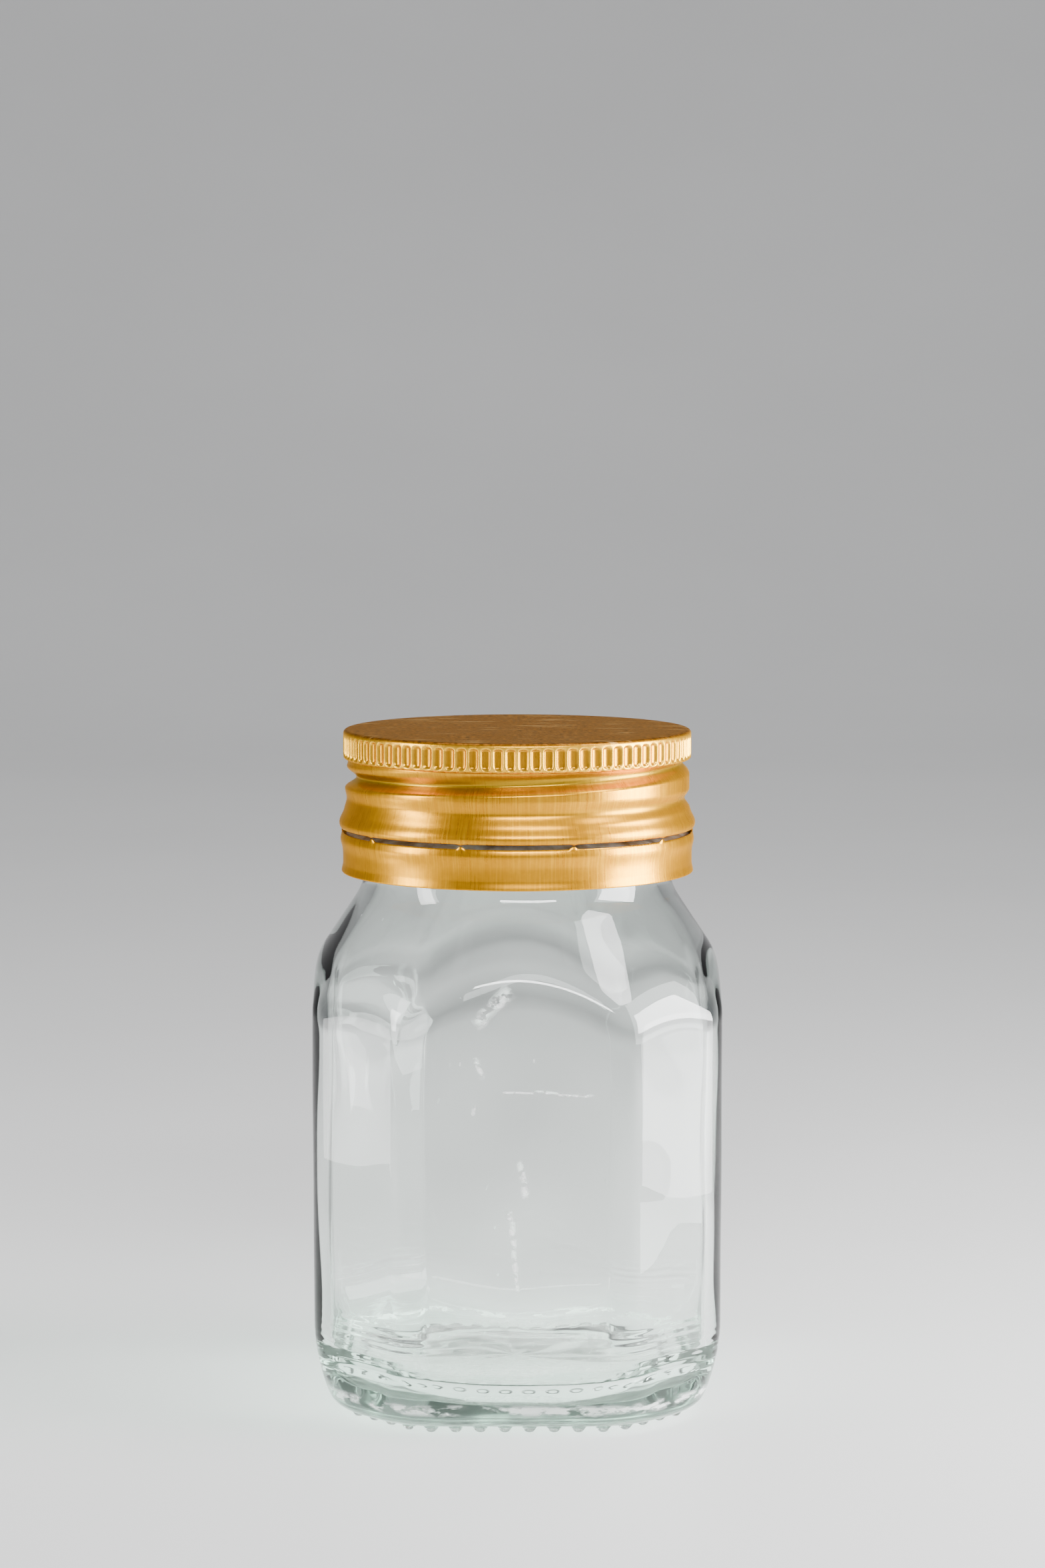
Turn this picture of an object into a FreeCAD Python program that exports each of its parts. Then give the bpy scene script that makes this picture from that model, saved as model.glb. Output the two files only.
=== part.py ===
import FreeCAD, Part
import math
import os

# Clear glass jar with a roll-on screw cap, a loose tamper ring and a sealing liner.
# Millimetres, +Z up. The origin is the centre of the surface that the jar stands on,
# and the front label panel faces -Y. Angles are measured from the front, positive
# towards +X, which is anticlockwise seen from above.

# ---- driving dimensions -------------------------------------------------------------

TOTAL_HEIGHT = 103.1          # nub tips to the top of the closed cap

# glass body, plan shape: a square with cut corners
PANEL_APOTHEM = 30.9          # axis to each of the four wide panels
CORNER_APOTHEM = 33.8         # axis to each of the four cut corners
EDGE_RADIUS = 6.2             # rounding of the eight upright edges
INNER_EDGE_RADIUS = 6.0       # the same edges inside the wall
WALL = 2.2                    # glass thickness of the upright walls

# glass body, heights
NUB_HEIGHT = 1.0              # the jar stands on nubs this tall
HEEL_HEIGHT = 14.5            # the wall starts to sweep in below this
HEEL_SWEEP_RADIUS = 30.0
HEEL_CORNER_RADIUS = 3.2
FLOOR_Z = 4.7                 # inner floor above the nub tips
FLOOR_RADIUS = 4.4            # rounding between the inner floor and the walls
PUSH_UP_RADIUS = 21.0         # hollow under the base
PUSH_UP_RISE = 1.6
ARCH_TOP_Z = 68.5             # where the shoulder cone meets the flat of a panel
SHOULDER_SLOPE = 0.675        # radius lost per millimetre of height
ARCH_RADIUS = 4.4             # rounding of the arched edge on the outside
INNER_ARCH_RADIUS = 3.6

# neck and finish
NECK_RADIUS = 23.4
NECK_BLEND = 7.0
BORE_RADIUS = 21.3
LOCK_BEAD_RADIUS = 26.65      # glass bead that keeps the tamper ring on
LOCK_BEAD_DEPTH = 16.8        # below the top of the closed cap
LOCK_BEAD_BELOW = 0.6         # its flat runs this far below and above that height
LOCK_BEAD_ABOVE = 0.4
LOCK_BEAD_LOWER_FLANK = 2.6
LOCK_BEAD_UPPER_FLANK = 1.6
FINISH_RADIUS = 23.9          # plain glass under the thread
THREAD_ROOT_RADIUS = 24.0
THREAD_CREST_RADIUS = 25.25
THREAD_PITCH = 4.2
THREAD_HALF_WIDTH = 1.35
THREAD_LOW_TURN = -330.0      # degrees round the neck where the glass thread ends
THREAD_HIGH_TURN = 190.0
THREAD_FADE = 40.0            # degrees over which each end of the thread dies away
THREAD_START_ABOVE_BEAD = 2.3
THREAD_STOP_BELOW_LIP = 0.6
LIP_RADIUS = 0.8

# cap, depths are measured down from its top face
SHEET = 0.25                  # aluminium thickness
KNURL_RADIUS = 26.6
KNURL_DEPTH = 4.5             # height of the knurled band
KNURL_COUNT = 90
KNURL_CUT_RADIUS = 0.5
KNURL_CUT_DEPTH = 0.42
TOP_EDGE_RADIUS = 0.7
KNURL_CHAMFER = 0.3           # at the lower edge of the band
LINER_SEAT_CLEARANCE = 0.4    # round the liner's edge
LEDGE_CLEARANCE = 0.4         # between the ledge under the liner and the thread root
LEDGE_THICKNESS = 0.6
SKIRT_OVERLAP = 0.3           # the skirt runs this far up into the head
SKIRT_RADIUS = 26.35
GROOVE_DEPTH_BELOW_TOP = 6.3  # pressed thread groove at the front, its upper turn
GROOVE_PRESS = 1.75           # how far the groove is pressed in
GROOVE_UPPER_WIDTH = 2.0
GROOVE_LOWER_WIDTH = 1.6
GROOVE_FULL_TURN = -90.0      # degrees where the groove is deepest
GROOVE_LOW_TURN = -270.0
GROOVE_HIGH_TURN = 150.0
NECK_IN = 0.45                # the skirt is this much slimmer right under the knurl
NECK_IN_DEPTH = 5.0
NECK_IN_FADE = 1.2
TUCK_DEPTH_BELOW_TOP = 10.5   # shallow groove rolled in above the bead
TUCK_PRESS = 0.5
TUCK_DEEPER_AT_SIDE = 0.25
TUCK_HALF_WIDTH = 1.5
TUCK_WIDER_IN_FRONT = 0.4
BEAD_DEPTH_BELOW_TOP = 14.2
BEAD_SWELL = 0.9
BEAD_WIDTH = 1.5
SKIRT_END = 14.9              # depth of the skirt's lower rim

# tamper ring, depths are measured down from the top of the cap
RING_START = 15.6
RING_TOP_RADIUS = 26.95
RING_CREST = 16.6
RING_CREST_RADIUS = 27.12
RING_CREASE = 18.2            # where the crest turns into the waist
RING_CREASE_RADIUS = 26.9
RING_WAIST = 20.0
RING_WAIST_RADIUS = 26.62
RING_END = 21.7
RING_FOOT_RADIUS = 26.85
BRIDGE_COUNT = 10
BRIDGE_FIRST_ANGLE = 18.0
RING_NUB_HEIGHT = 0.42        # torn bridges standing on the ring's top rim
RING_NUB_ROOT = 1.2
RING_NUB_TIP = 0.35
CAP_STUB_HEIGHT = 0.16        # and the shorter ends left hanging from the cap
CAP_STUB_ROOT = 0.9
CAP_STUB_TIP = 0.4
BRIDGE_THICKNESS = 0.19
BRIDGE_BURIED = 0.12

# liner
LINER_RADIUS = 25.2
LINER_THICKNESS = 1.6
FACE_GAP = 0.05               # between the liner and the faces on each side of it

# base nubs, in a row that follows the outline of the foot
NUB_COUNT = 48
NUB_ROW_INSET = 5.4           # how far the row lies inside the outline of the body
NUB_ROW_EDGE_RADIUS = 8.0
NUB_ROOT_RADIUS = 1.05
NUB_TIP_RADIUS = 0.5
NUB_BURIED = 0.4              # each nub's root runs this far into the base

# ---- worked out from the driving dimensions -----------------------------------------

CAP_UNDERSIDE = TOTAL_HEIGHT - SHEET
LINER_TOP = CAP_UNDERSIDE - FACE_GAP
LINER_BOTTOM = LINER_TOP - LINER_THICKNESS
MOUTH_Z = LINER_BOTTOM - FACE_GAP
KNURL_BOTTOM = TOTAL_HEIGHT - KNURL_DEPTH
LOCK_BEAD_Z = TOTAL_HEIGHT - LOCK_BEAD_DEPTH
GROOVE_FRONT_Z = TOTAL_HEIGHT - GROOVE_DEPTH_BELOW_TOP
THREAD_FRONT_Z = GROOVE_FRONT_Z - THREAD_PITCH / 2
CAVITY_RADIUS_INSET = WALL / math.cos(math.atan(SHOULDER_SLOPE))
WIDE = CORNER_APOTHEM + 6     # a radius beyond every upright edge
OVERRUN = 5.0                 # how far a cutter runs out past what it cuts

AXIS_POINT = FreeCAD.Vector(0, 0, 0)
UP = FreeCAD.Vector(0, 0, 1)


# ---- shared helpers -----------------------------------------------------------------

def point(radius, z, degrees=0.0):
    """A point at a radius from the axis, at an angle from the front of the jar."""
    turn = math.radians(degrees)
    return FreeCAD.Vector(radius * math.sin(turn), -radius * math.cos(turn), z)


def section_point(outward, z):
    """A point of a turned profile, drawn in the plane through the axis and +X."""
    return FreeCAD.Vector(outward, 0, z)


def turned(edges):
    """A solid of revolution about Z from the edges of a closed profile."""
    face = Part.Face(Part.Wire(edges))
    return face.revolve(AXIS_POINT, UP, 360)


def section_edge(start, end):
    """A straight edge between two vertices of a profile."""
    return Part.LineSegment(start.Point, end.Point).toShape()


def polyline(points):
    return [Part.LineSegment(a, b).toShape() for a, b in zip(points, points[1:])]


def ease(value):
    """A smooth step from 0 to 1 as value goes from 0 to 1."""
    value = min(max(value, 0.0), 1.0)
    return value * value * (3 - 2 * value)


def formed_solid(radius_at, z_low, z_high, around=120, spans=44):
    """A closed solid whose side follows radius_at(degrees, z), with flat ends.

    The side is one cubic spline surface, periodic round the axis. Its poles lie on
    the formula, moved out a little so that the smooth surface has the right radius.
    """
    shrink = (4 + 2 * math.cos(2 * math.pi / around)) / 6
    steps = [0, 1 / 3] + list(range(1, spans)) + [spans - 1 / 3, spans]
    heights = [z_low + (z_high - z_low) * step / spans for step in steps]
    poles = []
    for i in range(around):
        degrees = 360.0 * i / around
        poles.append([point(radius_at(degrees, z) / shrink, z, degrees) for z in heights])
    surface = Part.BSplineSurface()
    surface.buildFromPolesMultsKnots(
        poles, [1] * (around + 1), [4] + [1] * (spans - 1) + [4],
        [float(i) for i in range(around + 1)], [float(i) for i in range(spans + 1)],
        True, False, 3, 3)
    side = surface.toShape()
    rims = [edge for edge in side.Edges if edge.isClosed()]
    ends = [Part.Face(Part.Wire([rim])) for rim in rims]
    shell = Part.makeShell([side] + ends)
    shell.sewShape()
    solid = Part.Solid(Part.Shell(shell.Faces))
    if solid.Volume < 0:
        solid.reverse()
    return solid


def turns_through(degrees, low, high):
    """Every unwrapped angle between low and high that lies at this direction."""
    first = math.ceil((low - degrees) / 360.0)
    last = math.floor((high - degrees) / 360.0)
    return [degrees + 360.0 * k for k in range(first, last + 1)]


# ---- glass jar ----------------------------------------------------------------------

def jar_outline(inset, edge_radius, z):
    """The plan outline of the body as a closed wire that starts mid-front."""
    apothems = [PANEL_APOTHEM - inset, CORNER_APOTHEM - inset] * 4
    half_turn = math.radians(22.5)
    edges = []
    start = point(apothems[0], z)
    for side in range(8):
        here, after = apothems[side], apothems[(side + 1) % 8]
        # distance along this side from its foot on the axis normal to the sharp corner
        reach = (after - here * math.cos(2 * half_turn)) / math.sin(2 * half_turn)
        trim = edge_radius * math.tan(half_turn)
        normal = point(1, 0, 45.0 * side)
        along = point(1, 0, 45.0 * side + 90)
        next_along = point(1, 0, 45.0 * side + 135)
        corner = normal * here + along * reach + UP * z
        arc_start = corner - along * trim
        arc_end = corner + next_along * trim
        centre = arc_start - normal * edge_radius
        arc_middle = centre + point(edge_radius, 0, 45.0 * side + 22.5)
        edges.append(Part.LineSegment(start, arc_start).toShape())
        edges.append(Part.Arc(arc_start, arc_middle, arc_end).toShape())
        start = arc_end
    edges.append(Part.LineSegment(start, point(apothems[0], z)).toShape())
    return Part.Wire(edges)


def heel_cutter():
    """What the heel takes off the prism: a long sweep in, then a tight corner."""
    turn_in = math.asin((HEEL_HEIGHT - NUB_HEIGHT - HEEL_CORNER_RADIUS)
                        / (HEEL_SWEEP_RADIUS - HEEL_CORNER_RADIUS))

    def sweep_at(angle, radius, centre_in, centre_z):
        return FreeCAD.Vector(0, -(PANEL_APOTHEM - centre_in + radius * math.cos(angle)),
                              centre_z - radius * math.sin(angle))

    corner_in = (HEEL_SWEEP_RADIUS
                 - (HEEL_SWEEP_RADIUS - HEEL_CORNER_RADIUS) * math.cos(turn_in))
    corner_z = NUB_HEIGHT + HEEL_CORNER_RADIUS
    top = sweep_at(0, HEEL_SWEEP_RADIUS, HEEL_SWEEP_RADIUS, HEEL_HEIGHT)
    middle = sweep_at(turn_in / 2, HEEL_SWEEP_RADIUS, HEEL_SWEEP_RADIUS, HEEL_HEIGHT)
    joint = sweep_at(turn_in, HEEL_SWEEP_RADIUS, HEEL_SWEEP_RADIUS, HEEL_HEIGHT)
    bend = sweep_at((turn_in + math.pi / 2) / 2, HEEL_CORNER_RADIUS, corner_in, corner_z)
    foot = sweep_at(math.pi / 2, HEEL_CORNER_RADIUS, corner_in, corner_z)
    margin = 1.5
    outside = -(PANEL_APOTHEM + margin)
    rest = polyline([foot,
                     FreeCAD.Vector(0, foot.y, -margin),
                     FreeCAD.Vector(0, outside, -margin),
                     FreeCAD.Vector(0, outside, HEEL_HEIGHT),
                     top])
    profile = Part.Wire([Part.Arc(top, middle, joint).toShape(),
                         Part.Arc(joint, bend, foot).toShape()] + rest)
    path = jar_outline(0, EDGE_RADIUS, 0)
    return path.makePipeShell([profile], True, False)


def height_on_shoulder(radius):
    return ARCH_TOP_Z + (PANEL_APOTHEM - radius) / SHOULDER_SLOPE


def outer_turned_solid():
    """The outside above the panels: shoulder cone, neck, locking bead and finish."""
    neck_z = height_on_shoulder(NECK_RADIUS)
    cone_run = NECK_BLEND * math.tan(math.atan(SHOULDER_SLOPE) / 2)
    lean = math.atan(SHOULDER_SLOPE)
    blend_low = section_point(NECK_RADIUS + cone_run * math.sin(lean),
                              neck_z - cone_run * math.cos(lean))
    blend_high = section_point(NECK_RADIUS, neck_z + cone_run)
    blend_middle = section_point(
        NECK_RADIUS + NECK_BLEND * (1 - math.cos(lean / 2)),
        neck_z + cone_run - NECK_BLEND * math.sin(lean / 2))
    bead_low = LOCK_BEAD_Z - LOCK_BEAD_BELOW
    bead_high = LOCK_BEAD_Z + LOCK_BEAD_ABOVE
    eased = LIP_RADIUS * (1 - math.sqrt(0.5))
    lip = section_point(FINISH_RADIUS, MOUTH_Z - LIP_RADIUS)
    lip_middle = section_point(FINISH_RADIUS - eased, MOUTH_Z - eased)
    lip_end = section_point(FINISH_RADIUS - LIP_RADIUS, MOUTH_Z)
    edges = polyline([section_point(0, 0),
                      section_point(WIDE, 0),
                      section_point(WIDE, height_on_shoulder(WIDE)),
                      blend_low])
    edges.append(Part.Arc(blend_low, blend_middle, blend_high).toShape())
    edges += polyline([blend_high,
                       section_point(NECK_RADIUS, bead_low - LOCK_BEAD_LOWER_FLANK),
                       section_point(LOCK_BEAD_RADIUS, bead_low),
                       section_point(LOCK_BEAD_RADIUS, bead_high),
                       section_point(FINISH_RADIUS, bead_high + LOCK_BEAD_UPPER_FLANK),
                       lip])
    edges.append(Part.Arc(lip, lip_middle, lip_end).toShape())
    edges += polyline([lip_end, section_point(0, MOUTH_Z), section_point(0, 0)])
    return turned(edges)


def arch_edges(solid, apothem):
    """The closed chain of edges where the shoulder cone meets panels and corners.

    It is highest on the middle of a panel and lowest on the sharpest upright edge.
    """
    margin = 2.0
    low = height_on_shoulder(apothem + CORNER_APOTHEM - PANEL_APOTHEM) - 3 * margin
    high = ARCH_TOP_Z + margin
    return [edge for edge in solid.Edges
            if edge.BoundBox.ZMin > low and edge.BoundBox.ZMax < high]


def jar_outside():
    prism = Part.Face(jar_outline(0, EDGE_RADIUS, NUB_HEIGHT)).extrude(UP * MOUTH_Z)
    body = prism.common(outer_turned_solid())
    body = body.cut(heel_cutter())
    chain = arch_edges(body, PANEL_APOTHEM)
    return body.makeFillet(ARCH_RADIUS, chain)


def jar_cavity():
    """The hollow: the same plan shape one wall inside, a cone, and the neck bore."""
    floor = FLOOR_Z
    prism = Part.Face(jar_outline(WALL, INNER_EDGE_RADIUS, floor)).extrude(UP * MOUTH_Z)
    cone_z = height_on_shoulder(WIDE + CAVITY_RADIUS_INSET)
    bore_z = height_on_shoulder(BORE_RADIUS + CAVITY_RADIUS_INSET)
    hollow = turned(polyline([section_point(0, 0),
                              section_point(WIDE, 0),
                              section_point(WIDE, cone_z),
                              section_point(BORE_RADIUS, bore_z),
                              section_point(BORE_RADIUS, MOUTH_Z + OVERRUN),
                              section_point(0, MOUTH_Z + OVERRUN),
                              section_point(0, 0)]))
    body = prism.common(hollow)
    chain = arch_edges(body, PANEL_APOTHEM)
    body = body.makeFillet(INNER_ARCH_RADIUS, chain)
    floor_edges = [edge for edge in body.Edges
                   if all(abs(vertex.Z - floor) < 1e-6 for vertex in edge.Vertexes)]
    return body.makeFillet(FLOOR_RADIUS, floor_edges)


def thread_radius(degrees, z):
    """The outside of the threaded finish: a cylinder with one helical ridge."""
    height = 0.0
    for turn in turns_through(degrees, THREAD_LOW_TURN, THREAD_HIGH_TURN):
        away = abs(z - THREAD_FRONT_Z - THREAD_PITCH * turn / 360.0)
        if away >= THREAD_HALF_WIDTH:
            continue
        fade = ease((turn - THREAD_LOW_TURN) / THREAD_FADE)
        fade *= ease((THREAD_HIGH_TURN - turn) / THREAD_FADE)
        ridge = math.cos(math.pi * away / (2 * THREAD_HALF_WIDTH)) ** 2
        height = max(height, fade * ridge)
    return THREAD_ROOT_RADIUS + (THREAD_CREST_RADIUS - THREAD_ROOT_RADIUS) * height


def thread_sleeve():
    """The moulded thread, as a sleeve that is fused onto the plain finish."""
    low = LOCK_BEAD_Z + THREAD_START_ABOVE_BEAD
    high = MOUTH_Z - LIP_RADIUS - THREAD_STOP_BELOW_LIP
    inside_wall = (BORE_RADIUS + FINISH_RADIUS) / 2
    sleeve = formed_solid(thread_radius, low, high)
    core = Part.makeCylinder(inside_wall, high - low + 2 * OVERRUN,
                             point(0, low - OVERRUN), UP)
    return sleeve.cut(core)


def push_up():
    """The shallow dome under the base, as a cutter."""
    rise = PUSH_UP_RISE
    ball_radius = (PUSH_UP_RADIUS ** 2 + rise ** 2) / (2 * rise)
    ball = Part.makeSphere(ball_radius, point(0, NUB_HEIGHT + rise - ball_radius))
    return ball.common(Part.makeCylinder(PUSH_UP_RADIUS + 1, OVERRUN, AXIS_POINT, UP))


def base_nubs():
    """Tapered nubs, evenly spaced, with the middle of the front between two of them."""
    row = jar_outline(NUB_ROW_INSET, NUB_ROW_EDGE_RADIUS, 0)
    half_steps = row.discretize(Number=2 * NUB_COUNT + 1)
    grown = (NUB_ROOT_RADIUS - NUB_TIP_RADIUS) * NUB_BURIED / NUB_HEIGHT
    return [Part.makeCone(NUB_TIP_RADIUS, NUB_ROOT_RADIUS + grown,
                          NUB_HEIGHT + NUB_BURIED, tip, UP)
            for tip in half_steps[1::2]]


def glass_jar():
    glass = jar_outside().fuse(thread_sleeve())
    glass = glass.cut(jar_cavity())
    glass = glass.cut(push_up())
    return glass.fuse(base_nubs()).removeSplitter()


# ---- screw cap ----------------------------------------------------------------------

def groove_press(turn):
    """How far the thread groove is pressed in at an unwrapped angle."""
    if turn >= GROOVE_FULL_TURN:
        left = (GROOVE_HIGH_TURN - turn) / (GROOVE_HIGH_TURN - GROOVE_FULL_TURN)
        return GROOVE_PRESS * math.sin(math.pi / 2 * left)
    left = (turn - GROOVE_LOW_TURN) / (GROOVE_FULL_TURN - GROOVE_LOW_TURN)
    return GROOVE_PRESS * left


def tuck_press(degrees, depth):
    """The groove above the bead: wide and flat in front, narrow and deep at +X."""
    turn = math.radians(degrees)
    half_width = TUCK_HALF_WIDTH + TUCK_WIDER_IN_FRONT * math.cos(turn)
    away = min(abs(depth - TUCK_DEPTH_BELOW_TOP) / half_width, 1.0)
    return (TUCK_PRESS + TUCK_DEEPER_AT_SIDE * math.sin(turn)) * (1 - ease(away))


def skirt_radius(degrees, z):
    """The outside of the rolled skirt: neck-in, pressed thread, tuck and bead."""
    depth = TOTAL_HEIGHT - z
    radius = SKIRT_RADIUS
    radius -= NECK_IN * (1 - ease((depth - NECK_IN_DEPTH) / NECK_IN_FADE))
    radius -= tuck_press(degrees, depth)
    radius += BEAD_SWELL * math.exp(-((depth - BEAD_DEPTH_BELOW_TOP) / BEAD_WIDTH) ** 2)
    for turn in turns_through(degrees, GROOVE_LOW_TURN, GROOVE_HIGH_TURN):
        away = z - GROOVE_FRONT_Z - THREAD_PITCH * turn / 360.0
        width = GROOVE_UPPER_WIDTH if away > 0 else GROOVE_LOWER_WIDTH
        if abs(away) < width:
            bump = math.cos(math.pi * away / (2 * width)) ** 2
            radius -= groove_press(turn) * bump
    return radius


def inner_skirt_radius(degrees, z):
    return skirt_radius(degrees, z) - SHEET


def skirt():
    low = TOTAL_HEIGHT - SKIRT_END
    high = KNURL_BOTTOM + SKIRT_OVERLAP
    past = 0.5
    outer = formed_solid(skirt_radius, low, high)
    inner = formed_solid(inner_skirt_radius, low - past, high + past)
    return outer.cut(inner)


def cap_head():
    """The flat top and the knurled band, with the ledge that holds the liner in."""
    top = TOTAL_HEIGHT
    inner = LINER_RADIUS + LINER_SEAT_CLEARANCE
    ledge = THREAD_ROOT_RADIUS + LEDGE_CLEARANCE
    ledge_top = KNURL_BOTTOM + LEDGE_THICKNESS
    eased = TOP_EDGE_RADIUS * (1 - math.sqrt(0.5))
    round_start = section_point(KNURL_RADIUS, top - TOP_EDGE_RADIUS)
    round_middle = section_point(KNURL_RADIUS - eased, top - eased)
    round_end = section_point(KNURL_RADIUS - TOP_EDGE_RADIUS, top)
    edges = polyline([section_point(0, CAP_UNDERSIDE),
                      section_point(inner, CAP_UNDERSIDE),
                      section_point(inner, ledge_top),
                      section_point(ledge, ledge_top),
                      section_point(ledge, KNURL_BOTTOM),
                      section_point(KNURL_RADIUS - KNURL_CHAMFER, KNURL_BOTTOM),
                      section_point(KNURL_RADIUS, KNURL_BOTTOM + KNURL_CHAMFER),
                      round_start])
    edges.append(Part.Arc(round_start, round_middle, round_end).toShape())
    edges += polyline([round_end, section_point(0, top), section_point(0, CAP_UNDERSIDE)])
    return turned(edges)


def knurl_cutters():
    """One upright flute with a round top end for each gap between the ribs."""
    centre = KNURL_RADIUS + KNURL_CUT_RADIUS - KNURL_CUT_DEPTH
    low = KNURL_BOTTOM - OVERRUN
    high = TOTAL_HEIGHT - TOP_EDGE_RADIUS - KNURL_CUT_RADIUS
    flutes = []
    for i in range(KNURL_COUNT):
        foot = point(centre, low, 360.0 * (i + 0.5) / KNURL_COUNT)
        tip = FreeCAD.Vector(foot.x, foot.y, high)
        bar = Part.makeCylinder(KNURL_CUT_RADIUS, high - low, foot, UP)
        flutes.append(bar.fuse(Part.makeSphere(KNURL_CUT_RADIUS, tip)))
    return flutes


def bridge_remnant(rim_radius, z_root, height, degrees, root_width, tip_width):
    """One torn bridge: a small tapered tab that stands in the middle of a rim."""
    buried = math.copysign(BRIDGE_BURIED, -height)
    middle = rim_radius - SHEET / 2
    inside = point(middle - BRIDGE_THICKNESS / 2, z_root, degrees)
    sideways = point(1, 0, degrees + 90)
    outline = [inside - sideways * (root_width / 2) + UP * buried,
               inside + sideways * (root_width / 2) + UP * buried,
               inside + sideways * (tip_width / 2) + UP * height,
               inside - sideways * (tip_width / 2) + UP * height]
    face = Part.Face(Part.Wire(polyline(outline + outline[:1])))
    return face.extrude(point(BRIDGE_THICKNESS, 0, degrees))


def bridge_angles():
    return [BRIDGE_FIRST_ANGLE + 360.0 * i / BRIDGE_COUNT for i in range(BRIDGE_COUNT)]


def screw_cap():
    cap = cap_head().cut(knurl_cutters()).fuse(skirt())
    rim_z = TOTAL_HEIGHT - SKIRT_END
    rim_radius = skirt_radius(0, rim_z)
    stubs = [bridge_remnant(rim_radius, rim_z, -CAP_STUB_HEIGHT, angle,
                            CAP_STUB_ROOT, CAP_STUB_TIP)
             for angle in bridge_angles()]
    return cap.fuse(stubs)


# ---- tamper ring and liner ----------------------------------------------------------

def ring_side(inset):
    """The ring's upright profile, top to bottom: a crest over the bead, then a waist."""
    def rim(depth, radius):
        return section_point(radius - inset, TOTAL_HEIGHT - depth)

    crease = rim(RING_CREASE, RING_CREASE_RADIUS)
    crest = Part.Arc(rim(RING_START, RING_TOP_RADIUS),
                     rim(RING_CREST, RING_CREST_RADIUS), crease)
    waist = Part.Arc(crease, rim(RING_WAIST, RING_WAIST_RADIUS),
                     rim(RING_END, RING_FOOT_RADIUS))
    return [crest.toShape(), waist.toShape()]


def tamper_ring():
    outer = ring_side(0)
    inner = ring_side(SHEET)
    top = section_edge(inner[0].Vertexes[0], outer[0].Vertexes[0])
    bottom = section_edge(outer[-1].Vertexes[-1], inner[-1].Vertexes[-1])
    ring = turned([top] + outer + [bottom] + inner[::-1])
    rim_z = TOTAL_HEIGHT - RING_START
    nubs = [bridge_remnant(RING_TOP_RADIUS, rim_z, RING_NUB_HEIGHT, angle,
                           RING_NUB_ROOT, RING_NUB_TIP)
            for angle in bridge_angles()]
    return ring.fuse(nubs)


def liner():
    return Part.makeCylinder(LINER_RADIUS, LINER_THICKNESS, point(0, LINER_BOTTOM), UP)


# ---- output -------------------------------------------------------------------------

def main():
    os.makedirs("parts", exist_ok=True)
    nodes = {"glass_jar": glass_jar(),
             "screw_cap": screw_cap(),
             "tamper_ring": tamper_ring(),
             "liner": liner()}
    for name, shape in nodes.items():
        solids = shape.Solids
        print(name, "valid", shape.isValid(), "solids", len(solids),
              "volume", round(shape.Volume, 1), "faces", len(shape.Faces))
        solids[0].exportStep("parts/" + name + ".step")


main()
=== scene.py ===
import math

import bpy
import numpy as np
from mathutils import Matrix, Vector


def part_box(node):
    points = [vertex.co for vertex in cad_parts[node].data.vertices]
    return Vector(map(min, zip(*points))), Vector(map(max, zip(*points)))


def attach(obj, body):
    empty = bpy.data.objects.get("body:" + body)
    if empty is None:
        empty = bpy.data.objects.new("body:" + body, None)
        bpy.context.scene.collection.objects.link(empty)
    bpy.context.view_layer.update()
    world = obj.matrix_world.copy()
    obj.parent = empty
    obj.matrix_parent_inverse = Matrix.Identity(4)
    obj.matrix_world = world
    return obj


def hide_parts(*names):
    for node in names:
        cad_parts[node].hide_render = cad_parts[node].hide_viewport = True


# Looks of a clear glass jar with a gold roll-on cap, a loose tamper ring and a foam liner.
# The geometry below is worked out in millimetres, +Z up, with the front panel facing -Y,
# and is scaled to metres as each mesh is made. Angles run from the front towards +X.

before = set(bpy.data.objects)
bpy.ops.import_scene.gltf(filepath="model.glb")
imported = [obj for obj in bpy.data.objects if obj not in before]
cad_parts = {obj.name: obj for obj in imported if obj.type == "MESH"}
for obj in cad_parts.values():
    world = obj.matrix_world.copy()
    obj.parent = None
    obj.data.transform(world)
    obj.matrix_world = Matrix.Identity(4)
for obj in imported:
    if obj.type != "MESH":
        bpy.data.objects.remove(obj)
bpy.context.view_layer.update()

MM = 0.001


def box_mm(node):
    """The low and high corners of a node of the frame, in millimetres."""
    low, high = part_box(node)
    return [value / MM for value in low], [value / MM for value in high]


CAP_BOX = box_mm("screw_cap")
LINER_BOX = box_mm("liner")
GLASS_BOX = box_mm("glass_jar")

# ---- sizes --------------------------------------------------------------------------

TOP_Z = CAP_BOX[1][2]
MOUTH_Z = GLASS_BOX[1][2]
INSIDE_BOX = 0.01             # kept clear of the outside of the frame's boxes

# glass body
PANEL_APOTHEM = GLASS_BOX[1][0] - INSIDE_BOX
CORNER_APOTHEM = PANEL_APOTHEM + 2.9
EDGE_RADIUS = 6.4
WALL = 2.2
INNER_EDGE_RADIUS = 7.0
NUB_HEIGHT = 1.0
HEEL_HEIGHT = 14.5
HEEL_SWEEP_RADIUS = 30.0
HEEL_CORNER_RADIUS = 3.2
FOOT_EDGE_RADIUS = 14.0       # the upright edges are this round where the heel ends
FOOT_CORNER_OUT = 1.1
FLOOR_Z = 4.7
FLOOR_RIM = 20.5              # the flat of the inner floor is round
FLOOR_SWEEP = 8.5             # height over which the walls sweep in to it
PUSH_UP_RADIUS = 21.0
PUSH_UP_RISE = 1.6
ARCH_TOP_Z = 68.5
SHOULDER_SLOPE = 0.675
ARCH_SOFTNESS = 1.5           # radial width over which the arched edge is rounded
INNER_ARCH_SOFTNESS = 2.4
NECK_RADIUS = 23.4
NECK_SOFTNESS = 1.5
BORE_RADIUS = 21.3
LIP_RADIUS = 0.8
BEAD_Z = TOP_Z - 16.8
BEAD_RADIUS = 26.6
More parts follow.
